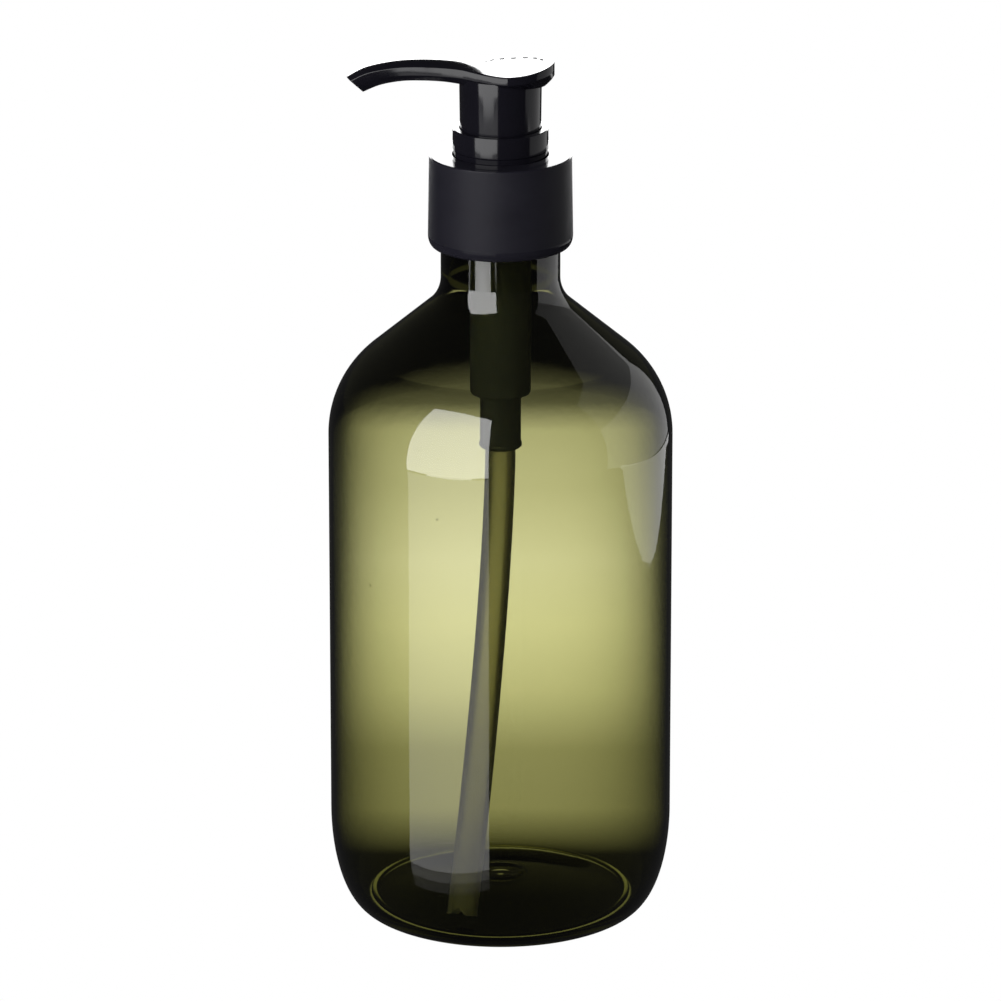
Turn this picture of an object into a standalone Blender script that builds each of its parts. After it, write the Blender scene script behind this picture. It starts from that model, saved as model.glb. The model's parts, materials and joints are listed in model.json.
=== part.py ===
"""A soap pump dispenser: a 500 ml bottle, a screw cap and a lotion pump with a lock-down thread.

Metres, +Z up. The origin is the centre of the base, on the surface that the bottle stands on.
The spout points along -X. The pump is drawn raised, as its spring holds it. Heights in this file
are measured from the floor inside the bottle, and the whole is moved up by FOOT at the end.
"""

from math import cos, pi, radians, sin, sqrt

import bmesh
import bpy
from mathutils import Matrix, Vector

MM = 0.001
GAP = 0.2 * MM  # left between pieces that touch
MERGE = 0.00001

# --- driving sizes -------------------------------------------------------------------------------
FOOT = 1.9 * MM  # how thick the base is
BODY_R = 37.5 * MM
BODY_TOP = 106.7 * MM
WALL = 0.9 * MM
HEEL_HEIGHT = 20.5 * MM
HEEL_WIDTH = 8.3 * MM
BASE_LAND = 1.8 * MM  # width of the flat ring that the bottle stands on
BASE_RISE = 5.0 * MM  # how far the base is pushed up in its middle
SHOULDER_R = 23.9 * MM
SHOULDER_ANGLE = radians(50)
NECK_FILLET = 8.0 * MM
NECK_R = 12.95 * MM
NECK_BORE = 11.1 * MM
NECK_TOP = 164.0 * MM

THREAD_PITCH = 4.233 * MM  # six threads to the inch
THREAD_TURNS = 1.5
THREAD_DEPTH = 0.9 * MM
THREAD_START = 154.4 * MM

CAP_BOTTOM = 149.3 * MM
CAP_TOP = 169.5 * MM
CAP_R = 15.4 * MM
CAP_DRAFT = 0.3 * MM  # how much wider the cap is at its mouth
CAP_BORE = 14.3 * MM
CAP_PLATE = 1.4 * MM

COLLAR_R = 10.35 * MM
COLLAR_TOP = 175.4 * MM
COLLAR_BORE = 9.1 * MM
GUIDE_R = 5.6 * MM
GUIDE_BORE = 4.55 * MM
GUIDE_TOP = 168.0 * MM
LOCK_PITCH = 2.4 * MM  # the lock-down thread, reached only below the pumping stroke
LOCK_TURNS = 0.6
LOCK_CREST_R = 6.8 * MM
LOCK_START = 156.8 * MM
SKIRT_THREAD_START = 169.6 * MM

CYLINDER_R = 6.6 * MM
CYLINDER_BORE = 5.8 * MM
CYLINDER_FLOOR = 118.0 * MM
SOCKET_R = 4.45 * MM
SOCKET_BOTTOM = 103.5 * MM
SOCKET_TOP = 109.4 * MM
BALL_R = 2.5 * MM
BALL_LIFT = 1.4 * MM
BALL_CHAMBER = 3.3 * MM

STEM_R = 4.25 * MM
STEM_BORE = 2.5 * MM
STEM_BOTTOM = 148.2 * MM
PISTON_BOTTOM = 145.0 * MM
PISTON_HEIGHT = 6.6 * MM
SPRING_WIRE_R = 0.45 * MM
SPRING_R = 3.9 * MM
SPRING_TURNS = 8.5

TUBE_R = 3.3 * MM
TUBE_BORE = 2.4 * MM
TUBE_END = Vector((-8.4, -24.5, 3.6)) * MM
TUBE_BOW = 1.5  # the tube leaves the axis as this power of the drop

SKIRT_TOP_R = 8.86 * MM
SKIRT_END_R = 8.66 * MM
SKIRT_BORE = 7.45 * MM
SKIRT_BOTTOM = 168.6 * MM
PAD_CENTRE = 1.6 * MM
PAD_LENGTH = 10.0 * MM
PAD_WIDTH = 9.7 * MM
PAD_BOTTOM = 185.5 * MM
PAD_LOW = 188.68 * MM  # the lowest part of the thumb pad's scoop
PAD_SCOOP = 12.5  # how fast the scoop rises to both sides, per metre
CHANNEL_R = 1.1 * MM

BIG_STEPS = 40
MIDDLE_STEPS = 32
SMALL_STEPS = 24


# --- scene, materials and shape helpers ------------------------------------------------------------
def clear_scene():
    for obj in list(bpy.data.objects):
        bpy.data.objects.remove(obj)


def new_collection(name):
    collection = bpy.data.collections.new(name)
    bpy.context.scene.collection.children.link(collection)
    return collection


def plastic(name, colour, roughness, metallic=0.0, transmission=0.0):
    material = bpy.data.materials.new(name)
    material.use_nodes = True
    shader = material.node_tree.nodes["Principled BSDF"]
    shader.inputs["Base Color"].default_value = (*colour, 1.0)
    shader.inputs["Roughness"].default_value = roughness
    shader.inputs["Metallic"].default_value = metallic
    shader.inputs["Transmission Weight"].default_value = transmission
    return material


def add_object(name, mesh, material=None):
    obj = bpy.data.objects.new(name, mesh)
    if material is None:
        helpers.objects.link(obj)
        obj.hide_render = True
        obj.display_type = "WIRE"
    else:
        parts.objects.link(obj)
        mesh.materials.append(material)
    return obj


def turned(name, profile, material=None, steps=MIDDLE_STEPS, ring=True):
    """A shape turned about Z from (radius, height) points that run up its inside and down its outside."""
    count = len(profile)
    edges = [(i, i + 1) for i in range(count - 1)]
    if ring:
        edges.append((count - 1, 0))
    mesh = bpy.data.meshes.new(name)
    mesh.from_pydata([(r, 0.0, z) for r, z in profile], edges, [])
    obj = add_object(name, mesh, material)
    screw = obj.modifiers.new("turn", "SCREW")
    screw.axis = "Z"
    screw.angle = 2 * pi
    screw.steps = steps
    screw.render_steps = steps
    screw.use_merge_vertices = True
    screw.merge_threshold = MERGE
    return obj


def boolean(obj, other, operation):
    modifier = obj.modifiers.new(f"{operation.lower()} {other.name}", "BOOLEAN")
    modifier.operation = operation
    modifier.solver = "EXACT"
    modifier.object = other


def box_cutter(name, centre, size):
    shape = bmesh.new()
    bmesh.ops.create_cube(shape, size=1.0)
    bmesh.ops.scale(shape, vec=size, verts=shape.verts)
    bmesh.ops.translate(shape, vec=centre, verts=shape.verts)
    mesh = bpy.data.meshes.new(name)
    shape.to_mesh(mesh)
    shape.free()
    return add_object(name, mesh)


def rod(name, points, radius, material=None, resolution=2):
    """A round bar along the points, as a closed mesh."""
    curve = bpy.data.curves.new(name, "CURVE")
    curve.dimensions = "3D"
    curve.bevel_depth = radius
    curve.bevel_resolution = resolution
    curve.use_fill_caps = True
    spline = curve.splines.new("POLY")
    spline.points.add(len(points) - 1)
    for point, place in zip(spline.points, points):
        point.co = (*place, 1.0)
    guide = bpy.data.objects.new(name + "_guide", curve)
    helpers.objects.link(guide)
    bpy.context.view_layer.update()
    graph = bpy.context.evaluated_depsgraph_get()
    mesh = bpy.data.meshes.new_from_object(guide.evaluated_get(graph))
    bpy.data.objects.remove(guide)
    shape = bmesh.new()
    shape.from_mesh(mesh)
    bmesh.ops.remove_doubles(shape, verts=shape.verts, dist=MERGE)
    bmesh.ops.recalc_face_normals(shape, faces=shape.faces)
    shape.to_mesh(mesh)
    shape.free()
    mesh.name = name
    return add_object(name, mesh, material)


def loft(name, sections, material=None):
    """A closed skin over sections that all have the same number of points."""
    shape = bmesh.new()
    rings = [[shape.verts.new(point) for point in section] for section in sections]
    count = len(rings[0])
    for here, there in zip(rings, rings[1:]):
        for i in range(count):
            j = (i + 1) % count
            shape.faces.new((here[i], here[j], there[j], there[i]))
    shape.faces.new(list(reversed(rings[0])))
    shape.faces.new(rings[-1])
    bmesh.ops.recalc_face_normals(shape, faces=shape.faces)
    mesh = bpy.data.meshes.new(name)
    shape.to_mesh(mesh)
    shape.free()
    return add_object(name, mesh, material)


def arc(centre, radii, start, end, count):
    """Points of an ellipse about centre, in (radius, height), from one angle to another."""
    angles = [start + (end - start) * i / count for i in range(count + 1)]
    return [(centre[0] + radii[0] * cos(a), centre[1] + radii[1] * sin(a)) for a in angles]


def thread_ridge(name, root, crest, start, turns, pitch, half_width, per_turn=BIG_STEPS):
    """A right-hand thread ridge of trapezoid section whose ends run out to nothing."""
    root_half, crest_half, fade = half_width, 0.5 * half_width, radians(30)
    count = round(per_turn * turns)
    sections = []
    for i in range(count + 1):
        angle = 2 * pi * i / per_turn
        share = min(1.0, angle / fade, (2 * pi * turns - angle) / fade)
        height = 0.15 + 0.85 * share
        tip = root + (crest - root) * height
        middle = start + pitch * angle / (2 * pi)
        outline = (
            (root, middle - root_half * height),
            (tip, middle - crest_half * height),
            (tip, middle + crest_half * height),
            (root, middle + root_half * height),
        )
        sections.append([(r * cos(angle), r * sin(angle), z) for r, z in outline])
    return loft(name, sections)


# --- bottle ----------------------------------------------------------------------------------------
def bottle_outline(inset, bottom):
    """The bottle's side from the base's middle up to the neck, moved inwards by inset."""
    land_r = BODY_R - HEEL_WIDTH
    inner_land = land_r - BASE_LAND
    dome = [
        (inner_land * share, bottom + BASE_RISE * cos(share * pi / 2) ** 1.4)
        for share in (0.0, 0.25, 0.5, 0.75, 0.9)
    ]
    outline = dome + [(inner_land, bottom)]
    outline += arc(
        (land_r, HEEL_HEIGHT), (HEEL_WIDTH - inset, HEEL_HEIGHT - bottom), -pi / 2, 0, 8
    )
    outline += arc(
        (BODY_R - SHOULDER_R, BODY_TOP), (SHOULDER_R - inset,) * 2, 0, SHOULDER_ANGLE, 6
    )
    fillet_r = NECK_FILLET + inset
    slope_in = NECK_R + NECK_FILLET - NECK_FILLET * cos(SHOULDER_ANGLE)
    shoulder_r = BODY_R - SHOULDER_R + SHOULDER_R * cos(SHOULDER_ANGLE)
    run = (shoulder_r - slope_in) / sin(SHOULDER_ANGLE)
    fillet_z = (
        BODY_TOP + (SHOULDER_R + NECK_FILLET) * sin(SHOULDER_ANGLE) + run * cos(SHOULDER_ANGLE)
    )
    outline += arc(
        (NECK_R + NECK_FILLET, fillet_z), (fillet_r,) * 2, pi + SHOULDER_ANGLE, pi, 4
    )
    return outline


def make_bottle():
    inside = bottle_outline(WALL, 0.0)[:-2] + [(NECK_BORE, 142.6 * MM), (NECK_BORE, NECK_TOP)]
    outside = bottle_outline(0.0, -FOOT) + [(NECK_R, NECK_TOP)]
    profile = inside + outside[::-1]
    obj = turned("bottle", profile, green_pet, BIG_STEPS, ring=False)
    ridge = thread_ridge(
        "bottle_thread",
        NECK_R - 0.4 * MM,
        NECK_R + THREAD_DEPTH,
        THREAD_START,
        THREAD_TURNS,
        THREAD_PITCH,
        MM,
    )
    boolean(obj, ridge, "UNION")
    return obj


# --- cap and gasket --------------------------------------------------------------------------------
def make_cap():
    edge, rise = 1.2 * MM, 2.4 * MM
    mouth_r = CAP_R + CAP_DRAFT
    hole_r = COLLAR_R + 0.3 * MM
    profile = [
        (CAP_BORE + 0.4 * MM, CAP_BOTTOM),
        (CAP_BORE, CAP_BOTTOM + 0.8 * MM),
        (CAP_BORE, CAP_TOP - CAP_PLATE),
        (hole_r, CAP_TOP - CAP_PLATE),
        (hole_r, CAP_TOP),
        (CAP_R - 0.3 * MM, CAP_TOP),
        (CAP_R, CAP_TOP - 0.3 * MM),
    ]
    profile += arc(
        (mouth_r - edge, CAP_BOTTOM + rise), (edge, rise), 0, -pi / 2 + 0.3, 5
    )
    obj = turned("closure_cap", profile, matt_black, BIG_STEPS)
    below_bottle_thread = THREAD_START - THREAD_PITCH / 2 + 0.3 * MM
    ridge = thread_ridge(
        "cap_thread",
        CAP_BORE + 0.4 * MM,
        NECK_R + 0.35 * MM,
        below_bottle_thread,
        1.25,
        THREAD_PITCH,
        MM,
    )
    boolean(obj, ridge, "UNION")
    return obj


def make_gasket():
    low, high = NECK_TOP + GAP, NECK_TOP + GAP + 1.2 * MM
    inner, outer = NECK_BORE - 0.1 * MM, 13.4 * MM
    profile = [(inner, low), (inner, high), (outer, high), (outer, low)]
    return turned("neck_gasket", profile, soft_white, BIG_STEPS)


# --- housing, collar and dip tube ------------------------------------------------------------------
FLANGE_BOTTOM = NECK_TOP + 2 * GAP + 1.2 * MM
FLANGE_TOP = FLANGE_BOTTOM + 1.2 * MM
CUP_R = NECK_BORE - 0.3 * MM
CUP_BORE = 10.1 * MM
CUP_FLOOR = 154.7 * MM


def ball_seat():
    """Radii and heights of the cone that the check ball closes: top rim, then throat."""
    return (BALL_CHAMBER, 112.6 * MM), (1.6 * MM, 110.6 * MM)


def ball_centre_height():
    (rim_r, rim_z), (throat_r, throat_z) = ball_seat()
    slope = (rim_r - throat_r) / (rim_z - throat_z)
    apex = throat_z - throat_r / slope
    half_angle_sine = slope / sqrt(1 + slope * slope)
    return apex + (BALL_R + GAP) / half_angle_sine


def make_housing():
    tube_hole = TUBE_R + GAP
    rim, throat = ball_seat()
    profile = [
        (tube_hole, SOCKET_BOTTOM),
        (tube_hole, SOCKET_TOP),
        (throat[0], SOCKET_TOP),
        throat,
        rim,
        (BALL_CHAMBER, CYLINDER_FLOOR),
        (CYLINDER_BORE, CYLINDER_FLOOR),
        (CYLINDER_BORE, CUP_FLOOR),
        (CUP_BORE, CUP_FLOOR),
        (CUP_BORE, FLANGE_TOP),
        (13.2 * MM, FLANGE_TOP),
        (13.2 * MM, FLANGE_BOTTOM),
        (CUP_R, FLANGE_BOTTOM),
        (CUP_R, CUP_FLOOR - 1.2 * MM),
        (CYLINDER_R, CUP_FLOOR - 2.2 * MM),
        (CYLINDER_R, 116.6 * MM),
        (CYLINDER_R - 0.8 * MM, 115.8 * MM),
        (SOCKET_R, 115.8 * MM),
        (SOCKET_R, SOCKET_BOTTOM + 1.4 * MM),
        (SOCKET_R + 0.2 * MM, SOCKET_BOTTOM + 1.0 * MM),
        (SOCKET_R + 0.2 * MM, SOCKET_BOTTOM + 0.4 * MM),
        (SOCKET_R - 0.2 * MM, SOCKET_BOTTOM),
    ]
    obj = turned("pump_housing", profile, milky, SMALL_STEPS)
    nib_length = 1.5 * MM
    for i in range(3):
        turn = Matrix.Rotation(2 * pi * i / 3, 4, "Z")
        middle = turn @ Vector((BALL_CHAMBER - 1.1 * MM + nib_length / 2, 0, 117.5 * MM))
        nib = box_cutter(f"ball_nib_{i}", (0, 0, 0), (nib_length, 1.2 * MM, 0.9 * MM))
        nib.matrix_world = Matrix.Translation(middle) @ turn
        boolean(obj, nib, "UNION")
    vent = rod(
        "vent_drill",
        [(0, 0, 152.1 * MM), (0, -2 * CYLINDER_R, 152.1 * MM)],
        0.5 * MM,
    )
    boolean(obj, vent, "DIFFERENCE")
    return obj


def make_collar():
    plate_low = CUP_FLOOR + 0.3 * MM
    plate_high = plate_low + 1.0 * MM
    flange_low = FLANGE_TOP + GAP
    flange_high = CAP_TOP - CAP_PLATE - GAP
    sleeve_r = CUP_BORE - GAP
    profile = [
        (GUIDE_BORE, 152.0 * MM),
        (GUIDE_BORE, GUIDE_TOP),
        (GUIDE_R, GUIDE_TOP),
        (GUIDE_R, plate_high),
        (COLLAR_BORE, plate_high),
        (COLLAR_BORE, COLLAR_TOP - 0.3 * MM),
        (COLLAR_BORE + 0.3 * MM, COLLAR_TOP),
        (COLLAR_R - 0.2 * MM, COLLAR_TOP),
        (COLLAR_R, COLLAR_TOP - 0.2 * MM),
        (COLLAR_R, flange_high),
        (12.9 * MM, flange_high),
        (12.9 * MM, flange_low),
        (sleeve_r, flange_low),
        (sleeve_r, plate_low),
        (GUIDE_R, plate_low),
        (GUIDE_R, 152.0 * MM),
    ]
    obj = turned("lock_collar", profile, gloss_black, MIDDLE_STEPS)
    ridge = thread_ridge(
        "collar_lock_thread",
        GUIDE_R - 0.3 * MM,
        LOCK_CREST_R,
        LOCK_START,
        LOCK_TURNS,
        LOCK_PITCH,
        0.65 * MM,
        MIDDLE_STEPS,
    )
    boolean(obj, ridge, "UNION")
    return obj


def tube_line(drop):
    """The dip tube's centre at a share of the drop from its socket to the base."""
    bend = drop**TUBE_BOW
    height = SOCKET_BOTTOM + (TUBE_END.z - SOCKET_BOTTOM) * drop
    return Vector((TUBE_END.x * bend, TUBE_END.y * bend, height))


def make_dip_tube():
    top = Vector((0, 0, SOCKET_TOP - GAP))
    points = [top] + [tube_line(i / 14) for i in range(15)]
    obj = rod("dip_tube", points, TUBE_R, milky, resolution=3)
    end = points[-1]
    aim = (points[-1] - points[-2]).normalized()
    bore_points = [top + Vector((0, 0, MM))] + points[:-1] + [end + aim * MM]
    boolean(obj, rod("tube_bore", bore_points, TUBE_BORE, resolution=2), "DIFFERENCE")
    notch = box_cutter("tube_notch", (0, 0, 0), (3.0 * MM, 4 * TUBE_R, 3.0 * MM))
    across = Vector((0, 0, 1)).cross(aim).normalized()
    facing = Matrix((across, aim.cross(across), -aim)).transposed().to_4x4()
    square = Matrix.Rotation(radians(45), 4, "Y")
    notch.matrix_world = Matrix.Translation(end + aim * 0.4 * MM) @ facing @ square
    boolean(obj, notch, "DIFFERENCE")
    return obj


# --- stems, piston, spring and ball ----------------------------------------------------------------
def make_upper_stem():
    profile = [
        (STEM_BORE, STEM_BOTTOM),
        (STEM_BORE, PAD_BOTTOM - 0.4 * MM),
        (STEM_R - 0.3 * MM, PAD_BOTTOM - 0.4 * MM),
        (STEM_R, PAD_BOTTOM - 0.8 * MM),
        (STEM_R, STEM_BOTTOM),
    ]
    return turned("upper_stem", profile, stem_black, SMALL_STEPS)


def make_lower_stem():
    plug_r = STEM_BORE - 0.15 * MM
    profile = [
        (0.0, 133.0 * MM),
        (2.1 * MM, 133.0 * MM),
        (2.5 * MM, 134.0 * MM),
        (2.5 * MM, 141.4 * MM),
        (4.4 * MM, 141.4 * MM),
        (4.4 * MM, 143.4 * MM),
        (2.6 * MM, PISTON_BOTTOM - GAP),
        (2.6 * MM, STEM_BOTTOM - GAP),
        (plug_r, STEM_BOTTOM),
        (plug_r, 156.0 * MM),
        (plug_r - 0.5 * MM, 157.0 * MM),
        (0.0, 157.0 * MM),
    ]
    obj = turned("lower_stem", profile[::-1], stem_black, SMALL_STEPS, ring=False)
    for side in (-1, 1):
        flute = box_cutter(
            f"flow_flute_{'left' if side < 0 else 'right'}",
            (side * 2.4 * MM, 0, 152.0 * MM),
            (1.8 * MM, 1.6 * MM, 12.0 * MM),
        )
        boolean(obj, flute, "DIFFERENCE")
    return obj


def make_piston():
    top = PISTON_BOTTOM + PISTON_HEIGHT
    lip_r = CYLINDER_BORE - 0.15 * MM
    recess_floor = STEM_BOTTOM - 1.8 * MM
    profile = [
        (2.95 * MM, PISTON_BOTTOM),
        (2.95 * MM, recess_floor),
        (STEM_R + 0.15 * MM, recess_floor),
        (STEM_R + 0.15 * MM, top - 1.2 * MM),
        (lip_r - 0.5 * MM, top),
        (lip_r, top),
        (lip_r, top - 0.6 * MM),
        (5.1 * MM, top - 2.0 * MM),
        (5.1 * MM, PISTON_BOTTOM + 1.6 * MM),
        (lip_r, PISTON_BOTTOM + 0.6 * MM),
        (lip_r, PISTON_BOTTOM),
    ]
    return turned("piston", profile, soft_white, SMALL_STEPS)


def make_spring():
    low = CYLINDER_FLOOR + GAP + SPRING_WIRE_R
    high = 141.4 * MM - GAP - SPRING_WIRE_R
    per_turn = 12
    count = round(SPRING_TURNS * per_turn)
    closed = 1.0 * per_turn  # the end coils lie almost flat
    points = []
    for i in range(count + 1):
        angle = 2 * pi * i / per_turn
        rise = min(max((i - closed) / (count - 2 * closed), 0.0), 1.0)
        flat = 1.15 * 2 * SPRING_WIRE_R
        lower_coil = flat * min(i / closed, 1.0)
        upper_coil = flat * max((i - count + closed) / closed, 0.0)
        height = low + lower_coil + (high - low - 2 * flat) * rise + upper_coil
        points.append((SPRING_R * cos(angle), SPRING_R * sin(angle), height))
    return rod("return_spring", points, SPRING_WIRE_R, steel, resolution=1)


def make_ball():
    shape = bmesh.new()
    bmesh.ops.create_uvsphere(shape, u_segments=16, v_segments=10, radius=BALL_R)
    mesh = bpy.data.meshes.new("inlet_ball")
    shape.to_mesh(mesh)
    shape.free()
    mesh.shade_smooth()
    obj = add_object("inlet_ball", mesh, clear_glass)
    obj.location = (0, 0, ball_centre_height())
    return obj


# --- head ------------------------------------------------------------------------------------------
# Spout stations in mm: X and Z where the side meets the top, X and Z below, half width, crown.
SPOUT_STATIONS = (
    (-5.6, 189.05, -5.6, 185.7, 6.1, 0.20),
    (-8.6, 189.30, -8.5, 185.85, 4.6, 0.60),
    (-12.5, 189.40, -12.2, 186.2, 3.8, 0.88),
    (-17.3, 189.50, -16.6, 186.35, 3.6, 0.88),
    (-22.6, 189.20, -21.2, 186.15, 3.4, 0.85),
    (-28.4, 188.10, -25.8, 185.25, 3.25, 0.80),
    (-32.4, 186.25, -29.5, 183.7, 3.0, 0.75),
)
STATION_STEPS = 3


def curve_through(rows, steps):
    """Rows of numbers joined by a smooth curve, with this many steps between two of them."""
    padded = [rows[0]] + list(rows) + [rows[-1]]
    found = []
    for i in range(1, len(padded) - 2):
        before, here, there, after = padded[i - 1 : i + 3]
        for k in range(steps):
            t = k / steps
            found.append(
                tuple(
                    b + 0.5 * t * (c - a + t * (2 * a - 5 * b + 4 * c - d + t * (3 * (b - c) + d - a)))
                    for a, b, c, d in zip(before, here, there, after)
                )
            )
    return found + [tuple(rows[-1])]


def head_section(upper, lower, width, crown, side, under_share):
    """One closed outline across the head: arched top, upright sides, chamfered underside.

    upper and lower are the (x, z) of the top's edges and of the underside; side is the height of
    the upright side, and under_share the part of the width that the flat underside takes.
    """
    axis = Vector((upper[0] - lower[0], 0.0, upper[1] - lower[1]))
    height = axis.length
    axis.normalize()
    edge = min(0.25 * MM, 0.12 * width)
    half = [(share * width, height + crown * (1 - share**2)) for share in (0.3, 0.6, 0.85)]
    half += [(width - edge, height + 0.2 * crown), (width, height - edge), (width, height - side)]
    corner = under_share * width
    half += [
        (0.25 * width + 0.75 * corner, 0.12 * height),
        (0.6 * corner, 0.0),
    ]
    outline = [(0.0, height + crown)] + half + [(0.0, 0.0)]
    outline += [(-y, z) for y, z in reversed(half)]
    foot = Vector((lower[0], 0.0, lower[1]))
    return [foot + axis * z + Vector((0.0, y, 0.0)) for y, z in outline]


def pad_section(x, width, low_share):
    top = PAD_LOW + PAD_SCOOP * (x - 0.8 * MM) ** 2
    low = top - (top - PAD_BOTTOM) * low_share
    side = min(1.75 * MM, 0.8 * (top - low))
    return head_section((x, top), (x, low), width, 0.0, side, 0.8)


def head_sections():
    sections = []
    back = PAD_CENTRE + PAD_LENGTH
    overhang = 2.4 * MM
    for angle in (8, 20, 34, 50, 70, 90):
        x = PAD_CENTRE + PAD_LENGTH * cos(radians(angle))
        past = max(0.0, (x - back + overhang) / overhang)
        low_share = 1 - 0.33 * past
        sections.append(pad_section(x, PAD_WIDTH * sin(radians(angle)), low_share))
    sections.append(pad_section(-2.0 * MM, 8.4 * MM, 1.0))
    for x, z, low_x, low_z, width, crown in curve_through(SPOUT_STATIONS, STATION_STEPS):
        sections.append(
            head_section(
                (x * MM, z * MM), (low_x * MM, low_z * MM), width * MM, crown * MM, 1.9 * MM, 0.8
            )
        )
    return sections


def make_head():
    obj = loft("pump_head", head_sections(), gloss_black)
    skirt = turned(
        "skirt",
        [
            (SKIRT_BORE, SKIRT_BOTTOM),
            (SKIRT_BORE, 187.0 * MM),
            (SKIRT_TOP_R, 187.0 * MM),
            (SKIRT_TOP_R, 184.0 * MM),
            (SKIRT_END_R, SKIRT_BOTTOM),
        ],
    )
    socket = turned(
        "stem_socket",
        [
            (STEM_R + 0.15 * MM, 178.4 * MM),
            (STEM_R + 0.15 * MM, PAD_BOTTOM + 0.3 * MM),
            (5.4 * MM, PAD_BOTTOM + 0.3 * MM),
            (5.4 * MM, 178.4 * MM),
        ],
        steps=SMALL_STEPS,
    )
    boolean(obj, skirt, "UNION")
    boolean(obj, socket, "UNION")
    ridge = thread_ridge(
        "skirt_lock_thread",
        SKIRT_BORE + 0.3 * MM,
        LOCK_CREST_R - 0.9 * MM,
        SKIRT_THREAD_START,
        LOCK_TURNS,
        LOCK_PITCH,
        0.65 * MM,
        MIDDLE_STEPS,
    )
    boolean(obj, ridge, "UNION")
    rows = curve_through(SPOUT_STATIONS, STATION_STEPS)
    channel_z = 186.7 * MM
    line = [Vector((0.8 * MM, 0, channel_z)), Vector((-2.5 * MM, 0, channel_z))]
    for x, z, low_x, low_z, *_ in rows[2:]:
        line.append(Vector(((x + low_x) / 2 * MM, 0, ((z + low_z) / 2 + 0.2) * MM)))
    line.append(line[-1] + (line[-1] - line[-2]).normalized() * 3 * MM)
    riser = [Vector((0, 0, 184.0 * MM)), Vector((0, 0, channel_z + 0.2 * MM))]
    boolean(obj, rod("spout_channel", line, CHANNEL_R), "DIFFERENCE")
    boolean(obj, rod("stem_riser", riser, 1.7 * MM), "DIFFERENCE")
    return obj


clear_scene()
parts = new_collection("soap_pump_dispenser")
helpers = new_collection("helpers")
green_pet = plastic("green_pet", (0.22, 0.25, 0.06), 0.05, transmission=0.9)
matt_black = plastic("matt_black_plastic", (0.013, 0.013, 0.015), 0.5)
gloss_black = plastic("gloss_black_plastic", (0.008, 0.008, 0.01), 0.12)
milky = plastic("milky_plastic", (0.8, 0.82, 0.78), 0.3, transmission=0.6)
stem_black = plastic("stem_plastic", (0.02, 0.02, 0.022), 0.3)
soft_white = plastic("soft_white_plastic", (0.85, 0.85, 0.83), 0.45)
steel = plastic("spring_steel", (0.6, 0.6, 0.62), 0.25, metallic=1.0)
clear_glass = plastic("clear_glass", (0.9, 0.95, 0.93), 0.02, transmission=1.0)

make_bottle()
make_cap()
make_gasket()
make_housing()
make_collar()
make_dip_tube()
make_upper_stem()
make_lower_stem()
make_piston()
make_spring()
make_ball()
make_head()
for collection in (parts, helpers):
    for obj in collection.objects:
        obj.location.z += FOOT
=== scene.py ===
"""The finished look of a soap pump dispenser: green bottle, satin cap and polished lotion pump."""

from math import atan2, cos, exp, pi, radians, sin, tan

import bmesh
import bpy
from mathutils import Matrix, Vector
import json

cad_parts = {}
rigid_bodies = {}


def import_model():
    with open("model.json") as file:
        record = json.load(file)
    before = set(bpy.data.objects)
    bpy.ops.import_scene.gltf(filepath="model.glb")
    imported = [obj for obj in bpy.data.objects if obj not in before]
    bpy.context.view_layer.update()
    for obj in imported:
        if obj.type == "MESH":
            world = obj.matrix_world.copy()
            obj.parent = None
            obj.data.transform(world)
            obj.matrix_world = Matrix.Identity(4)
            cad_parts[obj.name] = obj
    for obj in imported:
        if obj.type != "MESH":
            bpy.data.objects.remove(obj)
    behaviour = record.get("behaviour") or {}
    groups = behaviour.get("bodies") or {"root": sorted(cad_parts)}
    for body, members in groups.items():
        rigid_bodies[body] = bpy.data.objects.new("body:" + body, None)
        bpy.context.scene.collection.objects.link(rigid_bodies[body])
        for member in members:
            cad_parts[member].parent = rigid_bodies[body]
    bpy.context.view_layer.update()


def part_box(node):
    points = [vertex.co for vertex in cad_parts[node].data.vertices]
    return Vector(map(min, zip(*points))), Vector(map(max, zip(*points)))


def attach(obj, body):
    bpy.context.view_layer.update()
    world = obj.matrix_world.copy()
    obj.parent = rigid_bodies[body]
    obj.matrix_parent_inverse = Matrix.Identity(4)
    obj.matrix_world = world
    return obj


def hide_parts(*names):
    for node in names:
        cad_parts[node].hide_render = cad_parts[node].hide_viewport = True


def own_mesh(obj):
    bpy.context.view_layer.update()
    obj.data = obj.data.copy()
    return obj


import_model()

MM = 0.001

# --- sizes shared with the solids, in metres; heights are above the floor inside the bottle -------
FOOT = 1.9 * MM
BODY_R = 37.5 * MM
BODY_TOP = 106.7 * MM
WALL = 0.9 * MM
HEEL_HEIGHT = 20.5 * MM
HEEL_WIDTH = 8.3 * MM
BASE_LAND = 1.8 * MM
BASE_RISE = 5.0 * MM
GATE_R = 3.1 * MM
GATE_DEPTH = 0.9 * MM
GATE_RIDGE_R = 4.9 * MM
GATE_RIDGE = 0.22 * MM
SHOULDER_R = 23.9 * MM
SHOULDER_ANGLE = radians(50)
NECK_FILLET = 8.0 * MM
NECK_R = 12.95 * MM
NECK_BORE = 11.1 * MM
NECK_TOP = 164.0 * MM
BORE_START = 143.6 * MM
THREAD_PITCH = 4.233 * MM
THREAD_START = 154.4 * MM
CAP_BOTTOM = 149.3 * MM
CAP_TOP = 169.5 * MM
CAP_R = 15.4 * MM
CAP_BORE = 14.3 * MM
CAP_PLATE_LOW = 168.1 * MM
CAP_EDGE = 1.2 * MM
CAP_EDGE_RISE = 2.4 * MM
COLLAR_R = 10.35 * MM
COLLAR_TOP = 175.4 * MM
COLLAR_BORE = 8.9 * MM
GUIDE_R = 5.6 * MM
GUIDE_BORE = 4.55 * MM
GUIDE_BOTTOM = 152.0 * MM
GUIDE_TOP = 168.0 * MM
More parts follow.
